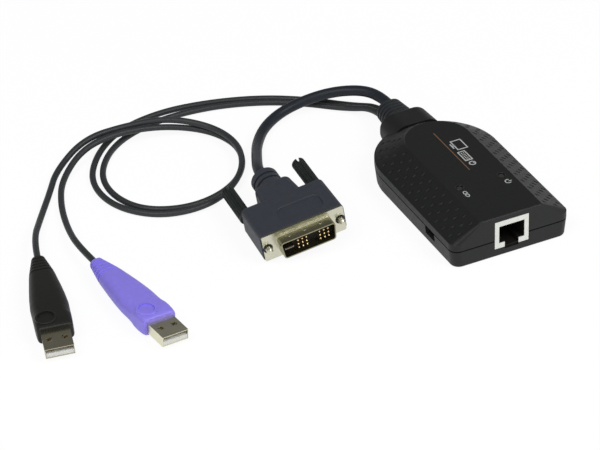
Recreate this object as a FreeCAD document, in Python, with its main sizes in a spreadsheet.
import FreeCAD, Part
import math
import os
import Sketcher

# KVM adapter dongle: a flat moulded box with an RJ-45 socket in its front face and a
# mini-USB socket in its left side, and three cables that leave a ribbed strain relief at
# the back and end in a DVI plug and two USB-A plugs.
#
# Frame, in millimetres: +Z up, +X to the right and +Y to the back, seen from the RJ-45
# face.  The origin is at the bottom centre of the box with its strain relief.

Vector = FreeCAD.Vector
Rotation = FreeCAD.Rotation
Placement = FreeCAD.Placement

doc = FreeCAD.newDocument("kvm_dongle")

# ----------------------------------------------------------------------------------------
# Driving dimensions
# ----------------------------------------------------------------------------------------
SIZES = [
    # moulded housing
    ("housing_half_width", 27.85, "half width at the parting line"),
    ("side_draft", 0.95, "how far the underside stands in from the parting line"),
    ("housing_front", 55.5, "distance of the front face from the origin"),
    ("rear_arc_centre", 9.0, "centre of the round rear end"),
    ("parting_height", 8.3, "height of the parting line"),
    ("shoulder_height", 11.3, "height where the upright side turns into the flank"),
    ("panel_half_width", 14.9, "half width of the flat top panel"),
    ("panel_bevel", 0.4, "bevel round the top panel"),
    ("corner_radius", 4.0, "upright front corners, in plan"),
    ("panel_corner_radius", 1.0, "front corners of the top panel"),
    ("base_edge_radius", 1.0, "rounding round the underside"),
    ("wall", 2.0, "wall of both covers"),
    ("groove_depth", 0.45, "shadow groove under the parting line, depth"),
    ("groove_height", 0.6, "shadow groove under the parting line, height"),
    ("neck_half_width", 11.6, "half width of the boss that holds the strain relief"),
    ("neck_half_height", 7.4, "half height of that boss"),
    ("neck_height", 8.7, "height of its axis"),
    ("neck_reach", 6.15, "boss, behind the round rear end"),
    ("neck_root", 7.85, "root of the boss, inside the round rear end"),
    ("neck_spread", 0.7, "how much wider and higher the boss is at its root"),
    ("neck_edge_radius", 1.8, "rounding of its rear edge"),
    # strain relief
    ("relief_half_width", 7.3, "half width of the strain relief at the boss"),
    ("relief_half_height", 6.3, "half height there"),
    ("relief_end_half_width", 6.1, "half width at the cable end"),
    ("relief_end_half_height", 5.3, "half height at the cable end"),
    ("relief_length", 12.5, "length outside the boss"),
    ("relief_inside", 6.85, "start of the strain relief, inside the round rear end"),
    ("relief_flange_place", 7.0, "front of the flange, inside the boss"),
    ("relief_ribs", 5.0, "number of ribs"),
    ("relief_groove_depth", 0.7, "depth of the grooves between the ribs"),
    ("relief_flange", 1.0, "retaining flange inside the boss, beyond the body"),
    ("relief_flange_thickness", 2.4, "thickness of that flange"),
    # RJ-45 socket
    ("jack_width", 16.0, "width of the shield"),
    ("jack_height", 13.2, "height of the shield"),
    ("jack_depth", 21.3, "depth of the shield"),
    ("jack_bottom", 4.0, "height of its underside, on the board"),
    ("jack_headroom", 2.5, "top panel, above the shield"),
    ("jack_sheet", 0.3, "sheet thickness of the shield"),
    ("jack_opening_width", 12.0, "plug opening, width"),
    ("jack_opening_height", 8.2, "plug opening, height"),
    ("jack_opening_bottom", 2.5, "plug opening, above the underside"),
    ("jack_opening_depth", 14.0, "plug opening, depth"),
    ("latch_width", 6.6, "latch slot, width"),
    ("latch_relief", 0.9, "notch in the lower cover under the latch slot"),
    ("latch_overlap", 0.5, "latch slot, into the plug opening"),
    ("contact_pitch", 1.02, "pitch of the eight contacts"),
    ("contact_width", 0.45, "width of one contact"),
    ("port_clearance", 0.15, "gap round a socket in the covers"),
    # circuit board
    ("board_thickness", 1.6, "circuit board"),
    ("board_clearance", 0.7, "gap between the board and the walls"),
    ("board_rear_gap", 9.85, "rear edge of the board, from the round rear end"),
    ("standoff_radius", 2.6, "board standoffs"),
    ("standoff_inset", 3.7, "standoffs, inside the board's sides"),
    ("standoff_setback", 27.5, "front pair of standoffs, from the front face"),
    ("standoff_rear", 5.0, "rear pair of standoffs, behind the centre of the rear arc"),
    ("screw_radius", 1.1, "cover screws, thread"),
    ("screw_head_radius", 2.0, "cover screws, head"),
    ("screw_head_height", 1.3, "cover screws, head"),
    ("screw_length", 9.0, "cover screws, below the head"),
    ("screw_clearance", 0.15, "gap round the thread in the lower cover"),
    ("screw_recess", 0.3, "heads, above the underside"),
    ("screw_head_gap", 0.25, "gap round the heads"),
    # components
    ("transformer_width", 12.7, "network transformer"),
    ("transformer_length", 14.0, "network transformer"),
    ("transformer_height", 5.9, "network transformer"),
    ("transformer_gap", 1.7, "network transformer, behind the RJ-45 socket"),
    ("main_chip_size", 20.0, "main chip"),
    ("main_chip_height", 1.6, "main chip"),
    ("memory_width", 18.4, "memory chip"),
    ("memory_length", 8.0, "memory chip"),
    ("memory_height", 1.2, "memory chip"),
    ("memory_gap", 2.5, "memory chip, in front of the cable header"),
    ("crystal_width", 4.7, "clock crystal"),
    ("crystal_length", 11.4, "clock crystal"),
    ("crystal_height", 3.5, "clock crystal"),
    ("crystal_gap", 4.9, "clock crystal, from the side of the board"),
    ("header_width", 16.0, "cable header"),
    ("header_length", 6.0, "cable header"),
    ("header_height", 8.7, "cable header"),
    ("header_gap", 1.5, "cable header, in front of the board's rear edge"),
    # mini-USB socket
    ("mini_width", 7.7, "shell, width"),
    ("mini_height", 3.9, "shell, height"),
    ("mini_depth", 9.2, "shell, depth"),
    ("mini_sheet", 0.3, "shell, sheet thickness"),
    ("mini_setback", 20.7, "centre of the socket, from the front face"),
    ("mini_recess", 1.2, "mouth of the shell, inside the side"),
    ("mini_block", 2.4, "insulating block at the back of the shell"),
    ("mini_tongue_recess", 1.2, "tip of the tongue, behind the mouth"),
    ("mini_tongue_width", 4.8, "tongue, width"),
    ("mini_tongue_height", 0.9, "tongue, height, above the middle of the shell"),
    # status lights
    ("light_radius", 1.5, "light pipes"),
    ("light_x", 10.0, "light pipes, from the centre line"),
    ("light_setback", 27.2, "light pipes, from the front face"),
    ("light_collar", 0.8, "collar of a light pipe, beyond the pipe"),
    ("light_collar_height", 1.5, "collar of a light pipe, height"),
    ("led_width", 1.6, "LED under a light pipe"),
    ("led_length", 3.2, "LED under a light pipe"),
    ("led_height", 1.2, "LED under a light pipe"),
    ("light_recess", 0.5, "light pipes, below the top panel"),
    ("light_clearance", 0.1, "gap round a light pipe"),
    # DVI plug
    ("dvi_width", 38.4, "hood, width"),
    ("dvi_height", 13.8, "hood, height"),
    ("dvi_depth", 22.5, "hood, from the face to the rear shoulder"),
    ("dvi_edge_radius", 2.4, "hood, long edges"),
    ("dvi_end_radius", 1.4, "hood, rear edges"),
    ("dvi_taper", 0.3, "hood, how much smaller all round at the rear"),
    ("dvi_neck_width", 17.4, "neck behind the hood, width"),
    ("dvi_neck_height", 12.6, "neck behind the hood, height"),
    ("dvi_neck_root", 3.0, "start of the neck and of the collar, inside what they leave"),
    ("dvi_neck_taper", 0.5, "neck, how far its sides lean in to either end from its middle"),
    ("dvi_neck_corner", 3.4, "neck, corners at its rear end"),
    ("dvi_neck_end", 33.0, "rear end of the neck"),
    ("dvi_collar_radius", 6.2, "collar at the cable"),
    ("dvi_collar_end", 43.0, "rear end of the collar"),
    ("dvi_groove_depth", 0.9, "two grooves round the collar, depth"),
    ("dvi_groove_width", 1.1, "two grooves round the collar, width"),
    ("dvi_groove_pitch", 3.2, "two grooves round the collar, spacing"),
    ("dvi_groove_place", 2.3, "first groove, behind the neck"),
    ("dvi_badge_x", 3.5, "round-ended recess in the hood's top, centre"),
    ("dvi_badge_y", 9.1, "round-ended recess in the hood's top, centre"),
    ("dvi_badge_length", 15.7, "recess, length"),
    ("dvi_badge_width", 8.8, "recess, width"),
    ("dvi_badge_line", 1.0, "recess, width of its groove"),
    ("dvi_badge_depth", 0.3, "recess, depth"),
    ("dvi_flange_thickness", 0.8, "metal flange"),
    ("dvi_flange_margin", 0.5, "flange, inside the hood's outline"),
    ("dvi_flange_corner", 0.9, "flange, corners"),
    ("dvi_flange_hole", 2.2, "holes in the flange, round the thumbscrews"),
    ("dvi_shell_width", 25.2, "shell, width"),
    ("dvi_shell_height", 8.6, "shell, height"),
    ("dvi_shell_reach", 5.6, "shell, in front of the flange"),
    ("dvi_shell_sheet", 0.5, "shell, sheet thickness"),
    ("dvi_shell_slope", 0.8, "shell, how far its lower corners stand in"),
    ("dvi_shell_corner", 1.5, "shell, corners"),
    ("dvi_dimple_radius", 1.5, "three spring dimples on the shell, ball radius"),
    ("dvi_dimple_height", 0.3, "spring dimples, above the shell"),
    ("dvi_dimple_pitch", 7.0, "spring dimples, spacing"),
    ("dvi_dimple_place", 2.3, "spring dimples, in front of the flange"),
    ("dvi_insert_recess", 4.4, "insulator, behind the mouth of the shell"),
    ("dvi_pin_pitch", 1.905, "pins"),
    ("dvi_pin_radius", 0.4, "pins"),
    ("dvi_pin_reach", 3.6, "pins, in front of the insulator"),
    ("dvi_blade_width", 4.0, "ground blade, width"),
    ("dvi_blade_thickness", 0.7, "ground blade, thickness"),
    ("thumbscrew_spacing", 33.3, "distance between the two thumbscrews"),
    ("thumbscrew_radius", 1.4, "thumbscrew, thread"),
    ("thumbscrew_tip", 3.2, "thumbscrew, in front of the flange"),
    ("knob_radius", 3.0, "thumbscrew, knob"),
    ("knob_length", 21.6, "thumbscrew, knob"),
    ("knob_gap", 0.3, "gap between a knob and the hood"),
    ("knob_edge", 0.5, "knob, rounded ends"),
    ("knob_slot_width", 1.3, "screwdriver slot"),
    ("knob_slot_depth", 2.2, "screwdriver slot"),
    ("knob_web", 1.0, "plastic between the slot and the end of the screw"),
    ("thumbscrew_clearance", 0.1, "running gap round the thumbscrew"),
    # USB-A plugs
    ("usb_shell_width", 12.0, "shell, width"),
    ("usb_shell_height", 4.5, "shell, height"),
    ("usb_shell_reach", 12.0, "shell, in front of the hood"),
    ("usb_shell_inside", 6.0, "shell, inside the hood"),
    ("usb_sheet", 0.3, "shell, sheet thickness"),
    ("usb_tongue_thickness", 1.84, "contact carrier, thickness"),
    ("usb_tongue_recess", 0.3, "contact carrier, behind the mouth"),
    ("usb_block", 1.0, "block behind the contacts, in front of the hood"),
    ("usb_contact_width", 1.0, "contacts, width"),
    ("usb_contact_thickness", 0.15, "contacts, above their carrier"),
    ("usb_latch_size", 2.2, "square latch holes"),
    ("usb_latch_place", 5.2, "latch holes, from the mouth"),
    ("usb_latch_x", 3.1, "latch holes, from the centre line"),
    ("usb_hood_length", 51.0, "hood with its strain relief"),
    ("usb_hood_half_width", 8.0, "hood, half width at its widest"),
    ("usb_hood_half_height", 4.5, "hood, half height at its thickest"),
    ("usb_ribs", 5.0, "ribs of the strain relief"),
    ("usb_rib_depth", 0.6, "grooves between those ribs"),
    ("usb_ring_radius", 4.5, "raised ring on the hood, outer radius"),
    ("usb_ring_bore", 3.4, "raised ring, inner radius"),
    ("usb_ring_height", 0.35, "raised ring, above the hood"),
    ("usb_ring_sink", 0.3, "face inside the ring, below the hood's top"),
    ("usb_ring_place", 6.3, "raised ring, centre behind the hood's front"),
    ("usb_ring_x", -2.6, "raised ring, centre from the middle of the hood"),
    # where the plugs lie: origin of each plug, and its turn about the upright axis, its lift
    # and its roll, in degrees
    ("dvi_x", -76.4, "centre of the DVI plug's face"),
    ("dvi_y", -15.14, "centre of the DVI plug's face"),
    ("dvi_z", 9.9, "centre of the DVI plug's face"),
    ("dvi_turn", -2.5, "DVI plug, turn"),
    ("dvi_lift", 2.35, "DVI plug, lift of the rear end"),
    ("dvi_roll", -8.8, "DVI plug, roll"),
    ("black_x", -195.5, "centre of the black plug's mouth"),
    ("black_y", -36.8, "centre of the black plug's mouth"),
    ("black_z", 4.9, "centre of the black plug's mouth"),
    ("black_turn", -14.0, "black plug, turn"),
    ("black_lift", 1.3, "black plug, lift of the rear end"),
    ("black_roll", -4.0, "black plug, roll"),
    ("purple_x", -151.05, "centre of the purple plug's mouth"),
    ("purple_y", -50.2, "centre of the purple plug's mouth"),
    ("purple_z", 4.8, "centre of the purple plug's mouth"),
    ("purple_turn", 7.5, "purple plug, turn"),
    ("purple_lift", 0.6, "purple plug, lift of the rear end"),
    ("purple_roll", 3.5, "purple plug, roll"),
    # cables
    ("usb_cable_diameter", 2.8, "the two USB cables"),
    ("dvi_cable_diameter", 4.8, "the DVI cable"),
    ("black_exit_x", -0.2, "black USB cable in the strain relief"),
    ("black_exit_z", 5.6, "black USB cable in the strain relief"),
    ("purple_exit_x", -3.6, "purple USB cable in the strain relief"),
    ("purple_exit_z", 6.2, "purple USB cable in the strain relief"),
    ("dvi_exit_x", 1.0, "DVI cable in the strain relief"),
    ("dvi_exit_z", 10.2, "DVI cable in the strain relief"),
]


class Size:
    """A length with the spreadsheet expression that gives it."""

    def __init__(self, value, text):
        self.value = value
        self.text = text

    @staticmethod
    def of(other):
        if isinstance(other, Size):
            return other
        return Size(float(other), "(%r)" % float(other))

    def __add__(self, other):
        other = Size.of(other)
        return Size(self.value + other.value, "(%s + %s)" % (self.text, other.text))

    def __sub__(self, other):
        other = Size.of(other)
        return Size(self.value - other.value, "(%s - %s)" % (self.text, other.text))

    def __mul__(self, other):
        other = Size.of(other)
        return Size(self.value * other.value, "(%s * %s)" % (self.text, other.text))

    def __truediv__(self, other):
        other = Size.of(other)
        return Size(self.value / other.value, "(%s / %s)" % (self.text, other.text))

    def __neg__(self):
        return Size(-self.value, "(-%s)" % self.text)

    __radd__ = __add__
    __rmul__ = __mul__

    def __rsub__(self, other):
        return Size.of(other) - self


class Dimensions:
    """Every driving dimension, by its name."""


sheet = doc.addObject("Spreadsheet::Sheet", "dims")
dim = Dimensions()
for row, (alias, value, meaning) in enumerate(SIZES, start=1):
    sheet.set("A%d" % row, alias)
    sheet.set("B%d" % row, str(value))
    sheet.set("C%d" % row, meaning)
    sheet.setAlias("B%d" % row, alias)
    setattr(dim, alias, Size(value, "dims." + alias))
doc.recompute()

ZERO = Size.of(0.0)
PAST = 1.0                # how far a cutting tool runs past the face that it cuts
base_half_width = dim.housing_half_width - dim.side_draft
jack_top = dim.jack_bottom + dim.jack_height
housing_height = jack_top + dim.jack_headroom
rear_end = dim.rear_arc_centre + dim.housing_half_width
neck_end = rear_end + dim.neck_reach
relief_inner_end = rear_end - dim.relief_inside
relief_end = neck_end + dim.relief_length
ALONG_Y = Rotation(Vector(1, 0, 0), -90)      # turns a solid's own +Z to +Y
UPRIGHT_SECTION = Rotation(Vector(1, 0, 0), 90)  # sketch X to +X and sketch Y to +Z


# ----------------------------------------------------------------------------------------
# Sketches and solids bound to the sheet
# ----------------------------------------------------------------------------------------
def bind(thing, prop, size):
    thing.setExpression(prop, Size.of(size).text)


def put(thing, x=ZERO, y=ZERO, z=ZERO, rotation=None):
    """Place a thing at sizes from the sheet."""
    place = [Size.of(v) for v in (x, y, z)]
    thing.Placement = Placement(Vector(*[v.value for v in place]), rotation or Rotation())
    for axis, size in zip("xyz", place):
        bind(thing, "Placement.Base." + axis, size)
    return thing


def box(name, x0, x1, y0, y1, z0, z1):
    solid = doc.addObject("Part::Box", name)
    x0, x1, y0, y1, z0, z1 = [Size.of(v) for v in (x0, x1, y0, y1, z0, z1)]
    bind(solid, "Length", x1 - x0)
    bind(solid, "Width", y1 - y0)
    bind(solid, "Height", z1 - z0)
    return put(solid, x0, y0, z0)


def cylinder(name, radius, height, x, y, z, rotation=None):
    solid = doc.addObject("Part::Cylinder", name)
    bind(solid, "Radius", radius)
    bind(solid, "Height", height)
    return put(solid, x, y, z, rotation)


def sphere(name, radius, x, y, z):
    solid = doc.addObject("Part::Sphere", name)
    bind(solid, "Radius", radius)
    return put(solid, x, y, z)


def cone(name, radius_1, radius_2, height, x, y, z, rotation=None):
    solid = doc.addObject("Part::Cone", name)
    bind(solid, "Radius1", radius_1)
    bind(solid, "Radius2", radius_2)
    bind(solid, "Height", height)
    return put(solid, x, y, z, rotation)


def cut(name, base, *tools):
    tool = tools[0] if len(tools) == 1 else fuse(name + "_tools", *tools)
    result = doc.addObject("Part::Cut", name)
    result.Base = base
    result.Tool = tool
    return result


def fuse(name, *shapes):
    result = doc.addObject("Part::MultiFuse", name)
    result.Shapes = list(shapes)
    result.Refine = True
    return result


def common(name, one, other):
    result = doc.addObject("Part::Common", name)
    result.Base = one
    result.Tool = other
    return result


def loft(name, sections, ruled=True):
    result = doc.addObject("Part::Loft", name)
    result.Sections = sections
    result.Solid = True
    result.Ruled = ruled
    return result


def extrude(name, sketch, length, direction):
    result = doc.addObject("Part::Extrusion", name)
    result.Base = sketch
    result.DirMode = "Custom"
    result.Dir = direction
    result.Solid = True
    bind(result, "LengthFwd", length)
    return result


def dimension(sketch, kind, *where_and_size):
    """Add a driving dimension to a sketch and bind it to the sheet."""
    size = Size.of(where_and_size[-1])
    where = where_and_size[:-1]
    index = sketch.addConstraint(Sketcher.Constraint(kind, *where, size.value))
    sketch.setExpression("Constraints[%d]" % index, size.text)


def housing_outline(name, z, half_width, front, corner):
    """Plan of the housing: straight front, upright sides, half-round rear end."""
    sketch = doc.addObject("Sketcher::SketchObject", name)
    w, f, c, yc = half_width.value, front.value, corner.value, dim.rear_arc_centre.value
    x_axis, z_axis = Vector(1, 0, 0), Vector(0, 0, 1)
    sketch.addGeometry(Part.LineSegment(Vector(-w + c, -f, 0), Vector(w - c, -f, 0)))
    right = Part.Circle(Vector(w - c, -f + c, 0), z_axis, c)
    sketch.addGeometry(Part.ArcOfCircle(right, -math.pi / 2, 0))
    sketch.addGeometry(Part.LineSegment(Vector(w, -f + c, 0), Vector(w, yc, 0)))
    sketch.addGeometry(Part.ArcOfCircle(Part.Circle(Vector(0, yc, 0), z_axis, w), 0, math.pi))
    sketch.addGeometry(Part.LineSegment(Vector(-w, yc, 0), Vector(-w, -f + c, 0)))
    left = Part.Circle(Vector(-w + c, -f + c, 0), z_axis, c)
    sketch.addGeometry(Part.ArcOfCircle(left, math.pi, 1.5 * math.pi))
    joints = [(0, 2, 1, 1), (1, 2, 2, 1), (2, 2, 3, 1), (3, 2, 4, 1), (4, 2, 5, 1), (5, 2, 0, 1)]
    for joint in joints:
        sketch.addConstraint(Sketcher.Constraint("Tangent", *joint))
    sketch.addConstraint(Sketcher.Constraint("Horizontal", 0))
    sketch.addConstraint(Sketcher.Constraint("PointOnObject", 3, 3, -2))
    sketch.addConstraint(Sketcher.Constraint("Equal", 1, 5))
    dimension(sketch, "Radius", 3, half_width)
    dimension(sketch, "Radius", 1, corner)
    dimension(sketch, "DistanceY", 0, 1, -1, 1, front)
    dimension(sketch, "DistanceY", -1, 1, 3, 3, dim.rear_arc_centre)
    return put(sketch, ZERO, ZERO, z)


def rounded_section(name, y, half_width, half_height, corner, x=ZERO, z=ZERO):
    """Upright section across the box: a rectangle with round corners, at a place along Y."""
    sketch = doc.addObject("Sketcher::SketchObject", name)
    half_width, half_height, corner = [Size.of(v) for v in (half_width, half_height, corner)]
    w, v, c = half_width.value, half_height.value, corner.value
    z_axis = Vector(0, 0, 1)
    quarter = math.pi / 2
    sides = [((-w + c, -v), (w - c, -v)), ((w, -v + c), (w, v - c)),
             ((w - c, v), (-w + c, v)), ((-w, v - c), (-w, -v + c))]
    corners = [(w - c, -v + c), (w - c, v - c), (-w + c, v - c), (-w + c, -v + c)]
    for number in range(4):
        start, end = sides[number]
        sketch.addGeometry(Part.LineSegment(Vector(*start, 0), Vector(*end, 0)))
        circle = Part.Circle(Vector(*corners[number], 0), z_axis, c)
        sketch.addGeometry(Part.ArcOfCircle(circle, (number - 1) * quarter, number * quarter))
    for edge in range(8):
        sketch.addConstraint(Sketcher.Constraint("Tangent", edge, 2, (edge + 1) % 8, 1))
    sketch.addConstraint(Sketcher.Constraint("Horizontal", 0))
    for edge in (3, 5, 7):
        sketch.addConstraint(Sketcher.Constraint("Equal", 1, edge))
    dimension(sketch, "Radius", 1, corner)
    dimension(sketch, "DistanceX", -1, 1, 2, 1, half_width)
    dimension(sketch, "DistanceX", 6, 1, -1, 1, half_width)
    dimension(sketch, "DistanceY", -1, 1, 4, 1, half_height)
    dimension(sketch, "DistanceY", 0, 1, -1, 1, half_height)
    return put(sketch, x, y, z, UPRIGHT_SECTION)


def edges_of(thing, test):
    """Numbers of the edges whose centre passes a test."""
    doc.recompute()
    return [n for n, edge in enumerate(thing.Shape.Edges, start=1) if test(edge)]


def fillet(name, base, test, radius):
    numbers = edges_of(base, test)
    result = doc.addObject("Part::Fillet", name)
    result.Base = base
    result.Edges = [(n, radius.value, radius.value) for n in numbers]
    return result


nodes = []


def node(thing, label):
    """Give a finished piece its name."""
    thing.Label = label
    nodes.append(thing)
    return thing


def feature(name, shape):
    thing = doc.addObject("Part::Feature", name)
    thing.Shape = shape
    return thing


# ----------------------------------------------------------------------------------------
# Housing: one moulded form, split into two covers at the parting line
# ----------------------------------------------------------------------------------------
FLANK_DROP = 0.55       # inner shoulder, below the outer one, as a share of the wall
PANEL_INSET = 0.6       # inner panel, inside the outer one, as a share of the wall
BIG = 90.0              # larger than the housing, for cutting it in two
ROUND = 0.9             # corners of the boss and the strain relief, as a share of the half height


def housing_form():
    """The outside of the closed housing with the boss for the strain relief."""
    front = dim.housing_front
    base = housing_outline("base", ZERO, base_half_width, front, dim.corner_radius)
    parting = housing_outline("parting", dim.parting_height, dim.housing_half_width, front,
                              dim.corner_radius)
    shoulder = housing_outline("shoulder", dim.shoulder_height, dim.housing_half_width, front,
                               dim.corner_radius)
    rim = housing_outline("panel_rim", housing_height - dim.panel_bevel,
                          dim.panel_half_width, front, dim.panel_corner_radius)
    panel = housing_outline("panel", housing_height, dim.panel_half_width - dim.panel_bevel,
                            front - dim.panel_bevel, dim.panel_corner_radius)
    lower = loft("lower_form", [base, parting])
    lower = fillet("lower_rounded", lower, lambda e: e.BoundBox.ZMax < 0.01, dim.base_edge_radius)
    band = loft("band_form", [parting, shoulder])
    flank = loft("flank_form", [shoulder, rim])
    bevel = loft("bevel_form", [rim, panel])
    root_half_height = dim.neck_half_height + dim.neck_spread
    neck = loft("neck_form", [
        rounded_section("neck_root", rear_end - dim.neck_root, dim.neck_half_width + dim.neck_spread,
                        root_half_height, root_half_height * ROUND, ZERO, dim.neck_height),
        rounded_section("neck_tip", neck_end, dim.neck_half_width, dim.neck_half_height,
                        dim.neck_half_height * ROUND, ZERO, dim.neck_height)])
    end = neck_end.value
    neck = fillet("neck_rounded", neck, lambda e: e.BoundBox.YMin > end - 0.01, dim.neck_edge_radius)
    return fuse("housing_form", lower, band, flank, bevel, neck)


def housing_cavity():
    """The hollow inside both covers."""
    front = dim.housing_front - dim.wall
    corner = dim.corner_radius - dim.wall
    floor = housing_outline("floor_in", dim.wall, base_half_width - dim.wall, front, corner)
    middle = housing_outline("middle_in", dim.parting_height, dim.housing_half_width - dim.wall,
                             front, corner)
    shoulder = housing_outline("shoulder_in", dim.shoulder_height - dim.wall * FLANK_DROP,
                               dim.housing_half_width - dim.wall, front, corner)
    panel = housing_outline("panel_in", housing_height - dim.wall,
                            dim.panel_half_width - dim.wall * PANEL_INSET, front,
                            dim.panel_corner_radius)
    return fuse("housing_cavity", loft("cavity_low", [floor, middle]),
                loft("cavity_middle", [middle, shoulder]), loft("cavity_high", [shoulder, panel]))


# Steps of one rib: place in the pitch, and whether the section is sunk.  The first groove
# starts a little behind the boss.
RELIEF_STEPS = ((0.02, 1), (0.36, 1), (0.48, 0), (0.94, 0))
RELIEF_START = [(0.02, 0), (0.10, 1)]


def relief_section(name, turns, inset=0.0):
    """Section of the strain relief, so many rib pitches behind the boss."""
    slope_w = (dim.relief_half_width - dim.relief_end_half_width) / dim.relief_ribs
    slope_h = (dim.relief_half_height - dim.relief_end_half_height) / dim.relief_ribs
    half_height = dim.relief_half_height - slope_h * turns - inset
    return rounded_section(name, neck_end + dim.relief_length / dim.relief_ribs * turns,
                           dim.relief_half_width - slope_w * turns - inset, half_height,
                           half_height * ROUND, ZERO, dim.neck_height)


def strain_relief():
    """Tapered, ribbed strain relief with a flange that the covers trap."""
    count = int(dim.relief_ribs.value)
    steps = [(rib + place, sunk) for rib in range(count) for place, sunk in RELIEF_STEPS]
    steps = RELIEF_START + steps[1:-1] + [(count, 0)]
    inner = rounded_section("relief_inner", relief_inner_end, dim.relief_half_width,
                            dim.relief_half_height, dim.relief_half_height * ROUND, ZERO,
                            dim.neck_height)
    body = loft("relief_body", [inner] + [
        relief_section("relief_%d" % n, turns, dim.relief_groove_depth * sunk)
        for n, (turns, sunk) in enumerate(steps)])
    flange_front = neck_end - dim.relief_flange_place
    flange_half_height = dim.relief_half_height + dim.relief_flange
    flange = loft("relief_flange_form", [
        rounded_section("relief_flange_" + side, y, dim.relief_half_width + dim.relief_flange,
                        flange_half_height, flange_half_height * ROUND, ZERO, dim.neck_height)
        for side, y in (("front", flange_front),
                        ("rear", flange_front + dim.relief_flange_thickness))])
    return node(fuse("cable_grommet", body, flange), "cable_grommet")


board_half_width = base_half_width - dim.wall - dim.board_clearance
board_bottom = dim.jack_bottom - dim.board_thickness
board_rear = rear_end - dim.board_rear_gap
jack_front = -dim.housing_front
mini_place = dim.mini_setback - dim.housing_front
light_place = dim.light_setback - dim.housing_front


def standoff_places():
    standoff_x = board_half_width - dim.standoff_inset
    for x in (-standoff_x, standoff_x):
        for y in (dim.standoff_setback - dim.housing_front, dim.rear_arc_centre + dim.standoff_rear):
            yield x, y


form = housing_form()
cavity = housing_cavity()
relief = strain_relief()

low_half = box("low_half", -BIG, BIG, -BIG, BIG, -BIG, dim.parting_height)
high_half = box("high_half", -BIG, BIG, -BIG, BIG, dim.parting_height, BIG)

half_jack = dim.jack_width / 2 + dim.port_clearance
jack_port = box("jack_port", -half_jack, half_jack, jack_front - PAST,
                jack_front + dim.wall + PAST, dim.jack_bottom - dim.port_clearance,
                jack_top + dim.port_clearance)
latch_relief = box("latch_relief", -dim.latch_width / 2, dim.latch_width / 2, jack_front - PAST,
                   jack_front + dim.latch_relief, dim.jack_bottom - dim.latch_relief,
                   dim.jack_bottom + PAST)
half_mini = dim.mini_width / 2 + dim.port_clearance
mini_port = box("mini_port", -dim.housing_half_width - PAST, -base_half_width + dim.wall + PAST,
                mini_place - half_mini, mini_place + half_mini,
                dim.jack_bottom - dim.port_clearance, dim.parting_height)

# shadow groove just under the parting line
groove_outer = housing_outline("groove_outer", dim.parting_height - dim.groove_height,
                               dim.housing_half_width + PAST, dim.housing_front + PAST,
                               dim.corner_radius + PAST)
groove_inner = housing_outline("groove_inner", dim.parting_height - dim.groove_height,
                               dim.housing_half_width - dim.groove_depth,
                               dim.housing_front - dim.groove_depth, dim.corner_radius)
groove = cut("parting_groove",
             extrude("groove_out", groove_outer, dim.groove_height, Vector(0, 0, 1)),
             extrude("groove_in", groove_inner, dim.groove_height, Vector(0, 0, 1)),
             box("groove_neck", -dim.neck_half_width - dim.neck_spread - PAST,
                 dim.neck_half_width + dim.neck_spread + PAST, rear_end - dim.neck_root, BIG,
                 ZERO, BIG))

standoffs = []
top_bosses = []
screw_holes = []
pilot_holes = []
for number, (x, y) in enumerate(standoff_places()):
    standoffs.append(cylinder("standoff_%d" % number, dim.standoff_radius, board_bottom - dim.wall / 2,
                              x, y, dim.wall / 2))
    boss = cylinder("boss_%d" % number, dim.standoff_radius, housing_height - dim.jack_bottom,
                    x, y, dim.jack_bottom)
    top_bosses.append(common("boss_in_form_%d" % number, boss, form))
    screw_holes.append(cylinder("screw_hole_%d" % number, dim.screw_radius + dim.screw_clearance,
                                board_bottom + 2 * PAST, x, y, -PAST))
    screw_holes.append(cylinder("counterbore_%d" % number, dim.screw_head_radius + dim.screw_head_gap,
                                dim.screw_head_height + dim.screw_recess + PAST, x, y, -PAST))
    pilot_holes.append(cylinder("pilot_%d" % number, dim.screw_radius, dim.screw_length + PAST, x, y,
                                dim.screw_head_height + dim.screw_recess))

bottom_shell = cut("bottom_shell", common("bottom_form", form, low_half), cavity)
bottom_cover = node(cut("bottom_cover", fuse("bottom_filled", bottom_shell, *standoffs), relief,
                        jack_port, latch_relief, mini_port, groove, *screw_holes), "bottom_cover")

light_holes = [cylinder("light_hole_%d" % n, dim.light_radius + dim.light_clearance,
                        dim.wall + 2 * PAST, x, light_place, housing_height - dim.wall - PAST)
               for n, x in enumerate((-dim.light_x, dim.light_x))]
top_shell = cut("top_shell", common("top_form", form, high_half), cavity)
top_cover = node(cut("top_cover", fuse("top_filled", top_shell, *top_bosses), relief, jack_port,
                     *(light_holes + pilot_holes)), "top_cover")

screws = []
for number, (x, y) in enumerate(standoff_places()):
    head = cylinder("screw_head_%d" % number, dim.screw_head_radius, dim.screw_head_height, x, y,
                    dim.screw_recess)
    shank = cylinder("screw_shank_%d" % number, dim.screw_radius, dim.screw_length, x, y,
                     dim.screw_head_height + dim.screw_recess)
    screws.append(fuse("screw_%d" % number, head, shank))
cover_screws = doc.addObject("Part::Compound", "cover_screws")
cover_screws.Links = screws
node(cover_screws, "cover_screws")


# ----------------------------------------------------------------------------------------
# Circuit board and what it carries
# ----------------------------------------------------------------------------------------
def circuit_board():
    front = dim.housing_front - dim.wall - dim.board_clearance
    plan = housing_outline("board_plan", board_bottom, board_half_width, front,
                           dim.corner_radius - dim.wall)
    plate = extrude("board_plate", plan, dim.board_thickness, Vector(0, 0, 1))
    kept = box("board_kept", -BIG, BIG, -BIG, board_rear, ZERO, BIG)
    holes = [cylinder("board_hole_%d" % n, dim.screw_radius + dim.screw_clearance,
                      dim.board_thickness + 2 * PAST, x, y, board_bottom - PAST)
             for n, (x, y) in enumerate(standoff_places())]
    return node(cut("circuit_board", common("board_cut", plate, kept), *holes), "circuit_board")


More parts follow.
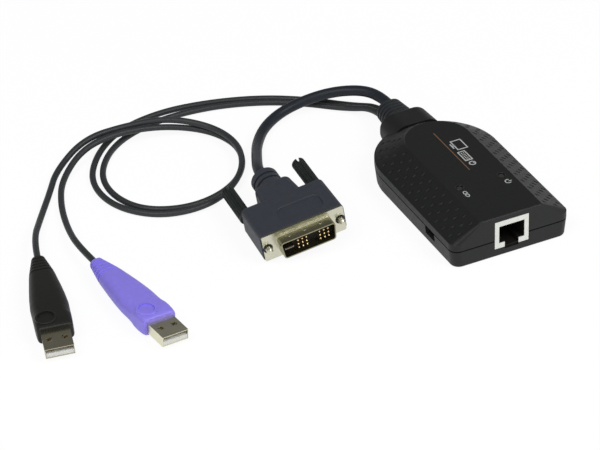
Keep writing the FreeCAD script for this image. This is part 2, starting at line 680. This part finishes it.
def on_board(label, x, y, length_x, length_y, height):
    """A component that stands on the board, by its centre and its size."""
    part = box(label, x - length_x / 2, x + length_x / 2, y - length_y / 2, y + length_y / 2,
               dim.jack_bottom, dim.jack_bottom + height)
    return node(part, label)


circuit_board()
header_rear = board_rear - dim.header_gap
header_front = header_rear - dim.header_length
transformer_front = jack_front + dim.jack_depth + dim.transformer_gap
transformer_rear = transformer_front + dim.transformer_length
memory_rear = header_front - dim.memory_gap
memory_front = memory_rear - dim.memory_length
chip_middle = (transformer_rear + memory_front) / 2
on_board("network_transformer", ZERO, transformer_front + dim.transformer_length / 2,
         dim.transformer_width, dim.transformer_length, dim.transformer_height)
on_board("main_chip", ZERO, chip_middle, dim.main_chip_size, dim.main_chip_size, dim.main_chip_height)
on_board("memory_chip", ZERO, memory_front + dim.memory_length / 2, dim.memory_width,
         dim.memory_length, dim.memory_height)
on_board("clock_crystal", dim.crystal_gap + dim.crystal_width / 2 - board_half_width, chip_middle,
         dim.crystal_width, dim.crystal_length, dim.crystal_height)
on_board("cable_header", ZERO, header_rear - dim.header_length / 2, dim.header_width,
         dim.header_length, dim.header_height)


# ----------------------------------------------------------------------------------------
# RJ-45 socket
# ----------------------------------------------------------------------------------------
sheet_in = dim.jack_sheet
half = dim.jack_width / 2
opening_bottom = dim.jack_bottom + dim.jack_opening_bottom
opening_top = opening_bottom + dim.jack_opening_height
jack_rear = jack_front + dim.jack_depth


def jack_opening(name, start, depth, bottom):
    """Plug opening with the slot for the latch under it."""
    hole = box(name + "_hole", -dim.jack_opening_width / 2, dim.jack_opening_width / 2, start,
               start + depth, opening_bottom, opening_top)
    slot = box(name + "_slot", -dim.latch_width / 2, dim.latch_width / 2, start, start + depth,
               bottom, opening_bottom + dim.latch_overlap)
    return fuse(name, hole, slot)


def rj45_shield():
    can = box("jack_can", -half, half, jack_front, jack_rear, dim.jack_bottom, jack_top)
    inside = box("jack_inside", -half + sheet_in, half - sheet_in, jack_front + sheet_in,
                 jack_rear + PAST, dim.jack_bottom + sheet_in, jack_top - sheet_in)
    mouth = jack_opening("jack_mouth", jack_front - PAST, sheet_in + 2 * PAST, dim.jack_bottom - PAST)
    return node(cut("rj45_shield", can, inside, mouth), "rj45_shield")


def rj45_housing():
    body = box("jack_body", -half + sheet_in, half - sheet_in, jack_front + sheet_in, jack_rear,
               dim.jack_bottom + sheet_in, jack_top - sheet_in)
    hollow = jack_opening("jack_hollow", jack_front - PAST, dim.jack_opening_depth + PAST,
                          dim.jack_bottom + sheet_in)
    return node(cut("rj45_housing", body, hollow), "rj45_housing")


CONTACT_PROFILE = [(3.6, 0.0), (4.3, 0.0), (11.6, -2.7), (11.4, -3.1)]  # from the mouth, from the roof


def rj45_contacts():
    """Eight spring wires that slant down and back from the roof of the socket."""
    wires = []
    width = dim.contact_width.value
    for number in range(8):
        x = (number - 3.5) * dim.contact_pitch.value - width / 2
        corners = [Vector(x, jack_front.value + y, opening_top.value + z) for y, z in CONTACT_PROFILE]
        face = Part.Face(Part.makePolygon(corners + corners[:1]))
        wires.append(face.extrude(Vector(width, 0, 0)))
    return node(feature("rj45_contacts", Part.makeCompound(wires)), "rj45_contacts")


rj45_shield()
rj45_housing()
rj45_contacts()


# ----------------------------------------------------------------------------------------
# Mini-USB socket
# ----------------------------------------------------------------------------------------
mini_mouth = -dim.housing_half_width + dim.mini_recess
mini_back = mini_mouth + dim.mini_depth
mini_top = dim.jack_bottom + dim.mini_height
mini_side = dim.mini_width / 2


def mini_usb():
    t = dim.mini_sheet
    can = box("mini_can", mini_mouth, mini_back, mini_place - mini_side,
              mini_place + mini_side, dim.jack_bottom, mini_top)
    inside = box("mini_inside", mini_mouth - PAST, mini_back - t, mini_place - mini_side + t,
                 mini_place + mini_side - t, dim.jack_bottom + t, mini_top - t)
    node(cut("mini_usb_shell", can, inside), "mini_usb_shell")
    block = box("mini_block", mini_back - dim.mini_block, mini_back - t, mini_place - mini_side + t,
                mini_place + mini_side - t, dim.jack_bottom + t, mini_top - t)
    middle = dim.jack_bottom + dim.mini_height / 2
    half_tongue = dim.mini_tongue_width / 2
    tongue = box("mini_tongue", mini_mouth + dim.mini_tongue_recess, mini_back - t,
                 mini_place - half_tongue, mini_place + half_tongue, middle,
                 middle + dim.mini_tongue_height)
    node(fuse("mini_usb_tongue", block, tongue), "mini_usb_tongue")


mini_usb()

# ----------------------------------------------------------------------------------------
# Status lights: a small LED on the board under a clear pipe that ends in the top panel
# ----------------------------------------------------------------------------------------
ceiling = housing_height - dim.wall
led_top = dim.jack_bottom + dim.led_height
for label, x in (("link", -dim.light_x), ("power", dim.light_x)):
    on_board(label + "_led", x, light_place, dim.led_width, dim.led_length, dim.led_height)
    pipe = cylinder(label + "_pipe", dim.light_radius, housing_height - dim.light_recess - led_top,
                    x, light_place, led_top)
    collar = cylinder(label + "_collar", dim.light_radius + dim.light_collar,
                      dim.light_collar_height, x, light_place, ceiling - dim.light_collar_height)
    node(fuse(label + "_light_pipe", pipe, collar), label + "_light_pipe")


# ----------------------------------------------------------------------------------------
# Plugs.  Each is built round its own origin, at the centre of its face or mouth, with +Y
# towards the cable, and its finished pieces are then laid where the plug lies.
# ----------------------------------------------------------------------------------------
class Plug:
    def __init__(self, name):
        self.name = name
        self.place = [getattr(dim, name + "_" + axis) for axis in "xyz"]
        turn, lift, roll = [getattr(dim, name + "_" + a).value for a in ("turn", "lift", "roll")]
        self.rotation = (Rotation(Vector(0, 0, 1), turn) * Rotation(Vector(1, 0, 0), lift)
                         * Rotation(Vector(0, 1, 0), roll))

    def lay(self, thing, label):
        put(thing, *self.place, self.rotation)
        return node(thing, label)

    def point(self, x, y, z):
        """World place of a point of the plug."""
        origin = Vector(*[size.value for size in self.place])
        return origin + self.rotation.multVec(Vector(x, y, z))


def trapezoid(name, y, length, half_width, half_height, slope, radius):
    """Bar along the plug with a D section: upright ends that lean in at the bottom."""
    sketch = doc.addObject("Sketcher::SketchObject", name + "_section")
    w, v, s = half_width.value, half_height.value, slope.value
    corners = [(-w + s, -v), (w - s, -v), (w, v), (-w, v)]
    for number in range(4):
        start, end = corners[number], corners[(number + 1) % 4]
        sketch.addGeometry(Part.LineSegment(Vector(*start, 0), Vector(*end, 0)))
    for edge in range(4):
        sketch.addConstraint(Sketcher.Constraint("Coincident", edge, 2, (edge + 1) % 4, 1))
    sketch.addConstraint(Sketcher.Constraint("Horizontal", 0))
    sketch.addConstraint(Sketcher.Constraint("Horizontal", 2))
    dimension(sketch, "DistanceX", -1, 1, 0, 2, half_width - slope)
    dimension(sketch, "DistanceX", 0, 1, -1, 1, half_width - slope)
    dimension(sketch, "DistanceX", -1, 1, 2, 1, half_width)
    dimension(sketch, "DistanceX", 2, 2, -1, 1, half_width)
    dimension(sketch, "DistanceY", 0, 1, -1, 1, half_height)
    dimension(sketch, "DistanceY", -1, 1, 2, 1, half_height)
    put(sketch, ZERO, y, ZERO, UPRIGHT_SECTION)
    bar = extrude(name + "_bar", sketch, length, Vector(0, 1, 0))
    return fillet(name, bar, lambda e: e.BoundBox.YLength > 0.5 * length.value, radius)


def ring(name, radius, depth, y, width):
    """Ring that cuts a groove into a round part along Y."""
    outer = cylinder(name + "_outer", radius + PAST, width, ZERO, y, ZERO, ALONG_Y)
    inner = cylinder(name + "_inner", radius - depth, width, ZERO, y, ZERO, ALONG_Y)
    return cut(name, outer, inner)


# ----------------------------------------------------------------------------------------
# DVI plug
# ----------------------------------------------------------------------------------------
PIN_COLUMNS = (-2.4, -1.4, -0.4, 2.8, 3.8, 4.8)   # in pitches from the middle of the shell
BLADE_X = -8.7
BLADE_Z = -0.1
DVI_INSIDE = 5.0        # insulator, behind the face
PIN_BUTT = 0.6          # pins, in front of the insulator's rear face
TIP = 0.25              # pointed ends of the pins
dvi = Plug("dvi")
insert_front = dim.dvi_insert_recess - dim.dvi_shell_reach
dvi_half_width = dim.dvi_width / 2
dvi_half_height = dim.dvi_height / 2
hood_front = dim.dvi_flange_thickness
screw_x = dim.thumbscrew_spacing / 2


def inner_bar(name, y, length):
    """The space inside the DVI shell."""
    return trapezoid(name, y, length, dim.dvi_shell_width / 2 - dim.dvi_shell_sheet,
                     dim.dvi_shell_height / 2 - dim.dvi_shell_sheet, dim.dvi_shell_slope,
                     dim.dvi_shell_corner - dim.dvi_shell_sheet)


def screw_bores(name, radius, y, length):
    return [cylinder("%s_%s" % (name, side), radius, length, x, y, ZERO, ALONG_Y)
            for side, x in (("left", -screw_x), ("right", screw_x))]


def badge_ring():
    """Round-ended groove in the hood's top."""
    top = dvi_half_height - dim.dvi_badge_depth - dim.dvi_taper

    def stadium(name, inset):
        radius = dim.dvi_badge_width / 2 - inset
        reach = (dim.dvi_badge_length - dim.dvi_badge_width) / 2
        height = dim.dvi_badge_depth + PAST
        ends = [cylinder("%s_%d" % (name, n), radius, height, dim.dvi_badge_x + x, dim.dvi_badge_y, top)
                for n, x in enumerate((-reach, reach))]
        middle = box(name + "_middle", dim.dvi_badge_x - reach, dim.dvi_badge_x + reach,
                     dim.dvi_badge_y - radius, dim.dvi_badge_y + radius, top, top + height)
        return fuse(name, middle, *ends)

    return cut("dvi_badge", stadium("dvi_badge_outer", ZERO),
               stadium("dvi_badge_inner", dim.dvi_badge_line))


def dvi_hood():
    body = loft("dvi_body", [
        rounded_section(name, y, dvi_half_width - inset, dvi_half_height - inset, dim.dvi_edge_radius)
        for name, y, inset in (("dvi_front", hood_front, ZERO), ("dvi_rear", dim.dvi_depth, dim.dvi_taper))])
    rear = dim.dvi_depth.value
    body = fillet("dvi_body_rounded", body, lambda e: e.BoundBox.YMin > rear - 0.01, dim.dvi_end_radius)
    half_neck = dim.dvi_neck_width / 2
    neck = loft("dvi_neck", [
        rounded_section("dvi_neck_front", dim.dvi_depth - dim.dvi_neck_root,
                        half_neck + dim.dvi_neck_taper, dvi_half_height - dim.dvi_taper,
                        dim.dvi_edge_radius),
        rounded_section("dvi_neck_rear", dim.dvi_neck_end, half_neck - dim.dvi_neck_taper,
                        dim.dvi_neck_height / 2, dim.dvi_neck_corner)])
    neck_rear = dim.dvi_neck_end.value
    neck = fillet("dvi_neck_rounded", neck, lambda e: e.BoundBox.YMin > neck_rear - 0.01,
                  dim.dvi_end_radius)
    collar = cylinder("dvi_collar", dim.dvi_collar_radius,
                      dim.dvi_collar_end - dim.dvi_neck_end + dim.dvi_neck_root,
                      ZERO, dim.dvi_neck_end - dim.dvi_neck_root, ZERO, ALONG_Y)
    end = dim.dvi_collar_end.value
    collar = fillet("dvi_collar_rounded", collar, lambda e: e.BoundBox.YMin > end - 0.01,
                    dim.dvi_end_radius / 2)
    grooves = [ring("dvi_groove_%d" % n, dim.dvi_collar_radius, dim.dvi_groove_depth,
                    dim.dvi_neck_end + dim.dvi_groove_place + dim.dvi_groove_pitch * n,
                    dim.dvi_groove_width)
               for n in range(2)]
    pocket = inner_bar("dvi_pocket", hood_front - PAST, Size.of(DVI_INSIDE + PAST) - hood_front)
    bores = screw_bores("dvi_bore", dim.thumbscrew_radius + dim.thumbscrew_clearance,
                        hood_front - PAST, dim.dvi_depth + 2 * PAST)
    solid = fuse("dvi_solid", body, neck, collar)
    hood = cut("dvi_hood", solid, pocket, badge_ring(), *(grooves + bores))
    dvi.lay(hood, "dvi_hood")


def dvi_shell():
    margin = dim.dvi_flange_margin
    flange = loft("dvi_flange", [
        rounded_section("dvi_flange_%s" % side, y, dvi_half_width - margin, dvi_half_height - margin,
                        dim.dvi_flange_corner)
        for side, y in (("front", ZERO), ("rear", dim.dvi_flange_thickness))])
    shell = trapezoid("dvi_shell_form", -dim.dvi_shell_reach,
                      dim.dvi_shell_reach + dim.dvi_flange_thickness, dim.dvi_shell_width / 2,
                      dim.dvi_shell_height / 2, dim.dvi_shell_slope, dim.dvi_shell_corner)
    dimples = [sphere("dvi_dimple_%d" % n, dim.dvi_dimple_radius, dim.dvi_dimple_pitch * (n - 1),
                      -dim.dvi_dimple_place,
                      dim.dvi_shell_height / 2 + dim.dvi_dimple_height - dim.dvi_dimple_radius)
               for n in range(3)]
    inside = inner_bar("dvi_shell_inside", -dim.dvi_shell_reach - PAST,
                       dim.dvi_shell_reach + dim.dvi_flange_thickness + 2 * PAST)
    bores = screw_bores("dvi_flange_bore", dim.dvi_flange_hole, Size.of(-PAST),
                        dim.dvi_flange_thickness + 2 * PAST)
    stamping = fuse("dvi_stamping", flange, shell, *dimples)
    dvi.lay(cut("dvi_shell", stamping, inside, *bores), "dvi_shell")


def pin_shapes():
    """Three rows of round pins with pointed ends."""
    radius, pitch = dim.dvi_pin_radius.value, dim.dvi_pin_pitch.value
    front = insert_front.value - dim.dvi_pin_reach.value
    pins = []
    for column in PIN_COLUMNS:
        for row in (-1, 0, 1):
            tip = Vector(column * pitch, front, row * pitch)
            start = tip + Vector(0, TIP, 0)
            point = Part.makeCone(radius / 2, radius, TIP, tip, Vector(0, 1, 0))
            length = DVI_INSIDE - PIN_BUTT - start.y
            pins.append(point.fuse(Part.makeCylinder(radius, length, start, Vector(0, 1, 0))))
    return Part.makeCompound(pins)


def blade(name):
    """Flat ground contact with a thinner front edge."""
    front = insert_front - dim.dvi_pin_reach
    half_width, half_height = dim.dvi_blade_width / 2, dim.dvi_blade_thickness / 2
    body = box(name + "_body", BLADE_X - half_width, BLADE_X + half_width, front + TIP,
               DVI_INSIDE - PIN_BUTT, BLADE_Z - half_height, BLADE_Z + half_height)
    edge = box(name + "_edge", BLADE_X - half_width + TIP, BLADE_X + half_width - TIP, front,
               front + TIP, BLADE_Z - half_height / 2, BLADE_Z + half_height / 2)
    return fuse(name, body, edge)


def thumbscrew(side, x):
    """Plastic knob pressed on a long screw that reaches through the hood and the flange."""
    name = "dvi_%s_" % side
    knob_front = dim.dvi_depth + dim.knob_gap
    knob_end = knob_front + dim.knob_length
    barrel = cylinder(name + "barrel", dim.knob_radius, dim.knob_length, x, knob_front, ZERO, ALONG_Y)
    barrel = fillet(name + "barrel_rounded", barrel,
                    lambda e: e.Curve.TypeId == CIRCLE, dim.knob_edge)
    screw_end = knob_end - dim.knob_slot_depth - dim.knob_web
    bore = cylinder(name + "bore", dim.thumbscrew_radius, screw_end - knob_front + PAST, x,
                    knob_front - PAST, ZERO, ALONG_Y)
    slot = box(name + "slot", x - dim.knob_slot_width / 2, x + dim.knob_slot_width / 2,
               knob_end - dim.knob_slot_depth, knob_end + PAST, -dim.knob_radius - PAST,
               dim.knob_radius + PAST)
    dvi.lay(cut(name + "knob", barrel, bore, slot), name + "knob")
    point = dim.thumbscrew_radius / 2
    shank = cylinder(name + "shank", dim.thumbscrew_radius, dim.thumbscrew_tip - point + screw_end,
                     x, point - dim.thumbscrew_tip, ZERO, ALONG_Y)
    tip = cone(name + "tip", dim.thumbscrew_radius / 2, dim.thumbscrew_radius, point, x,
               -dim.thumbscrew_tip, ZERO, ALONG_Y)
    dvi.lay(fuse(name + "screw", shank, tip), name + "screw")


CIRCLE = "Part::GeomCircle"
dvi_hood()
dvi_shell()
pins = pin_shapes()
insulator = cut("dvi_insulator",
                inner_bar("dvi_insert", insert_front, DVI_INSIDE - insert_front),
                feature("dvi_pin_holes", pins), blade("dvi_blade_slot"))
dvi.lay(insulator, "dvi_insulator")
dvi.lay(feature("dvi_pins", pins), "dvi_pins")
dvi.lay(blade("dvi_ground_blade"), "dvi_ground_blade")
thumbscrew("left", -screw_x)
thumbscrew("right", screw_x)

# ----------------------------------------------------------------------------------------
# USB-A plugs: two alike, one black and one purple
# ----------------------------------------------------------------------------------------
# Hood: place along it, half width and half height, as shares of its three sizes, and the
# corner radius as a share of the half height
USB_HOOD = [(0.0, 0.90, 0.80, 0.50), (0.010, 0.93, 0.89, 0.50), (0.028, 0.95, 0.95, 0.50),
            (0.060, 0.965, 0.985, 0.50), (0.100, 0.975, 1.0, 0.50), (0.150, 0.98, 1.0, 0.55),
            (0.200, 0.985, 1.0, 0.80), (0.255, 0.99, 1.0, 0.90), (0.350, 1.0, 1.0, 0.94),
            (0.470, 0.94, 0.97, 0.94), (0.590, 0.85, 0.91, 0.94), (0.705, 0.75, 0.84, 0.94),
            (0.775, 0.69, 0.79, 0.94)]
RIBBED = (0.785, 0.68, 0.78, 0.92)   # start of the ribs, likewise
HOOD_END = (1.0, 0.37, 0.56, 0.92)   # cable end, likewise
RIB_STEPS = ((0.0, 1), (0.30, 1), (0.42, 0), (0.92, 0))  # place in the pitch, and whether sunk
USB_CONTACTS = ((-3.5, 1.8), (-1.0, 2.8), (1.0, 2.8), (3.5, 1.8))  # place across, start behind the mouth


def usb_section(name, share, wide, high, round_share, sunk=0):
    half_width = dim.usb_hood_half_width * wide - dim.usb_rib_depth * sunk
    half_height = dim.usb_hood_half_height * high - dim.usb_rib_depth * sunk
    return rounded_section(name, dim.usb_shell_reach + dim.usb_hood_length * share, half_width,
                           half_height, half_height * round_share)


def usb_hood(name):
    sections = [usb_section("%s_%d" % (name, n), *row) for n, row in enumerate(USB_HOOD)]
    count = int(dim.usb_ribs.value)
    for rib in range(count):
        for step, (place, sunk) in enumerate(RIB_STEPS):
            if rib == count - 1 and step == len(RIB_STEPS) - 1:
                place = 1.0
            turn = (rib + place) / count
            row = [a + (b - a) * turn for a, b in zip(RIBBED, HOOD_END)]
            sections.append(usb_section("%s_rib_%d_%d" % (name, rib, step), *row, sunk))
    body = loft(name, sections)
    place = dim.usb_shell_reach + dim.usb_ring_place
    top = dim.usb_hood_half_height
    disc = cylinder(name + "_disc", dim.usb_ring_radius, dim.usb_ring_height + PAST, dim.usb_ring_x,
                    place, top - PAST)
    disc = fillet(name + "_disc_rounded", disc, lambda e: e.BoundBox.ZMin > top.value,
                  dim.usb_ring_height)
    well = cylinder(name + "_well", dim.usb_ring_bore, dim.usb_ring_sink + dim.usb_ring_height + PAST,
                    dim.usb_ring_x, place, top - dim.usb_ring_sink)
    return cut(name + "_ringed", fuse(name + "_disc_on", body, disc), well)


def usb_plug(colour):
    name = colour + "_usb_"
    plug = Plug(colour)
    t = dim.usb_sheet
    half_width, half_height = dim.usb_shell_width / 2, dim.usb_shell_height / 2
    rear = dim.usb_shell_reach + dim.usb_shell_inside
    middle = dim.usb_shell_reach - dim.usb_block
    tongue_top = -half_height + t + dim.usb_tongue_thickness

    pocket = box(name + "pocket", -half_width, half_width, ZERO, rear, -half_height, half_height)
    hood = cut(name + "hood", usb_hood(name + "hood_form"), pocket)
    plug.lay(hood, name + "hood")

    can = box(name + "can", -half_width, half_width, ZERO, rear, -half_height, half_height)
    inside = box(name + "inside", -half_width + t, half_width - t, -PAST, rear + PAST,
                 -half_height + t, half_height - t)
    size = dim.usb_latch_size
    latches = [box("%slatch_%d" % (name, n), x - size / 2, x + size / 2, dim.usb_latch_place,
                   dim.usb_latch_place + size, -half_height - PAST, half_height + PAST)
               for n, x in enumerate((-dim.usb_latch_x, dim.usb_latch_x))]
    plug.lay(cut(name + "shell", can, inside, *latches), name + "shell")

    tongue = box(name + "tongue", -half_width + t, half_width - t, dim.usb_tongue_recess, rear,
                 -half_height + t, tongue_top)
    block = box(name + "block", -half_width + t, half_width - t, middle, rear, -half_height + t,
                half_height - t)
    plug.lay(fuse(name + "insulator", tongue, block), name + "insulator")

    half_strip = dim.usb_contact_width / 2
    strips = [box("%sstrip_%d" % (name, n), x - half_strip, x + half_strip, front, middle,
                  tongue_top, tongue_top + dim.usb_contact_thickness)
              for n, (x, front) in enumerate(USB_CONTACTS)]
    contacts = doc.addObject("Part::Compound", name + "contacts")
    contacts.Links = strips
    plug.lay(contacts, name + "contacts")
    return plug


black = usb_plug("black")
purple = usb_plug("purple")


# ----------------------------------------------------------------------------------------
# Cables
# ----------------------------------------------------------------------------------------
BEND_SHARE = 0.45       # share of the shorter run that an arc takes


def cable_path(points):
    """Straight runs joined by tangent arcs."""
    edges, radii = [], []
    last = points[0]
    for before, corner, after in zip(points, points[1:], points[2:]):
        back, ahead = before - corner, after - corner
        half_turn = (math.pi - back.getAngle(ahead)) / 2
        reach = BEND_SHARE * min(back.Length, ahead.Length)
        radii.append(reach / math.tan(half_turn))
        back.normalize()
        ahead.normalize()
        start, end = corner + back * reach, corner + ahead * reach
        inward = back + ahead
        inward.normalize()
        distance = radii[-1] / math.cos(half_turn)
        middle = corner + inward * (distance - radii[-1])
        edges.append(Part.LineSegment(last, start).toShape())
        edges.append(Part.Arc(start, middle, end).toShape())
        last = end
    edges.append(Part.LineSegment(last, points[-1]).toShape())
    return Part.Wire(edges), radii


def cable(label, diameter, points):
    """Round cable along a route."""
    radius = diameter.value / 2
    path, radii = cable_path(points)
    start = points[0]
    profile = Part.Wire(Part.makeCircle(radius, start, points[1] - start))
    tube = path.makePipeShell([profile], True, False)
    expected = math.pi * radius ** 2 * path.Length
    print("%s: length %.1f mm, smallest radius %.1f mm, volume / expected %.4f, lowest %.2f"
          % (label, path.Length, min(radii), tube.Volume / expected, tube.BoundBox.ZMin))
    print("  radii", " ".join("%.0f" % r for r in radii))
    print("  route", "; ".join("%.2f, %.2f, %.2f" % tuple(p) for p in points))
    return node(feature(label, tube), label)


def route(exit_x, exit_z, middle, plug, entry_y, approach):
    """From the strain relief, by the middle points, straight into a plug."""
    points = [Vector(exit_x.value, relief_end.value, exit_z.value)]
    points += [Vector(*p) for p in middle]
    points.append(plug.point(0, entry_y.value + approach, 0))
    points.append(plug.point(0, entry_y.value, 0))
    return points


usb_entry = dim.usb_shell_reach + dim.usb_hood_length
USB_APPROACH = 15.0     # last straight run of a USB cable, before its plug
DVI_APPROACH = 12.0     # last straight run of the DVI cable
BLACK_ROUTE = [(-0.2, 64.5, 5.6), (-8, 77, 1.5), (-23, 91, 1.5), (-41, 102.5, 1.5), (-63, 110, 1.5),
               (-86, 113.5, 1.5), (-108.5, 108, 1.5), (-125.5, 94, 1.5), (-136.5, 74, 1.5),
               (-134, 51.5, 1.5), (-118, 35.5, 1.5), (-94.5, 33.5, 1.5), (-75, 45, 1.5),
               (-65.5, 66.5, 1.5), (-69, 86, 2.6), (-86, 97.5, 7.4), (-107, 101.5, 7.4),
               (-128, 100.5, 7.4), (-145.5, 91, 1.5), (-155, 75.5, 1.5), (-166, 58.5, 2.2)]
PURPLE_ROUTE = [(-3.6, 64, 6.2), (-11.5, 76, 1.5), (-28, 90, 1.5), (-45.5, 100, 1.5),
                (-66, 105.5, 1.5), (-89, 105, 1.5), (-112.5, 98, 1.5), (-128.5, 80.5, 1.5),
                (-131, 60.5, 1.5), (-123, 43, 1.5), (-101.5, 36.4, 1.5), (-80, 45.5, 1.5),
                (-68.5, 66, 1.5), (-73.2, 84.5, 2.8), (-91, 94.5, 7.4), (-112, 98, 7.4),
                (-131, 95.2, 6.2), (-146.5, 82.5, 1.5), (-154, 65, 1.5), (-158.5, 46.5, 2.4)]
DVI_ROUTE = [(1, 63.5, 10.2), (-3.5, 72.5, 10.8), (-14.5, 80, 9.4), (-27, 84, 6.6), (-40, 84, 3.8),
             (-51.5, 77.5, 2.6), (-60.5, 65.5, 3.4), (-67, 51.5, 7)]
cable("black_usb_cable", dim.usb_cable_diameter,
      route(dim.black_exit_x, dim.black_exit_z, BLACK_ROUTE, black, usb_entry, USB_APPROACH))
cable("purple_usb_cable", dim.usb_cable_diameter,
      route(dim.purple_exit_x, dim.purple_exit_z, PURPLE_ROUTE, purple, usb_entry, USB_APPROACH))
cable("dvi_cable", dim.dvi_cable_diameter,
      route(dim.dvi_exit_x, dim.dvi_exit_z, DVI_ROUTE, dvi, dim.dvi_collar_end, DVI_APPROACH))

tails = []
for name, x, z, diameter in (("black", dim.black_exit_x, dim.black_exit_z, dim.usb_cable_diameter),
                             ("purple", dim.purple_exit_x, dim.purple_exit_z, dim.usb_cable_diameter),
                             ("dvi", dim.dvi_exit_x, dim.dvi_exit_z, dim.dvi_cable_diameter)):
    tails.append(cylinder(name + "_tail", diameter / 2, relief_inner_end - header_rear, x,
                          header_rear, z, ALONG_Y))
cable_tails = doc.addObject("Part::Compound", "cable_tails")
cable_tails.Links = tails
node(cable_tails, "cable_tails")

# ----------------------------------------------------------------------------------------
# Check and write
# ----------------------------------------------------------------------------------------
doc.recompute()
for thing in doc.Objects:
    bad = [state for state in thing.State if state in ("Invalid", "Error")]
    if bad:
        raise RuntimeError("%s: %s" % (thing.Label, bad))
os.makedirs("parts", exist_ok=True)
for thing in nodes:
    shape = thing.Shape
    if shape.isNull() or not shape.isValid() or not shape.Solids:
        raise RuntimeError("bad shape: " + thing.Label)
    shape.exportStep("parts/%s.step" % thing.Label)
    b = shape.BoundBox
    print("%-24s solids %2d  x %.2f %.2f  y %.2f %.2f  z %.2f %.2f"
          % (thing.Label, len(shape.Solids), b.XMin, b.XMax, b.YMin, b.YMax, b.ZMin, b.ZMax))
for side, x in (("left", -screw_x.value), ("right", screw_x.value)):
    print("thumbscrew anchor", side, dvi.point(x, 0, 0))
print("thumbscrew axis", dvi.rotation.multVec(Vector(0, 1, 0)))
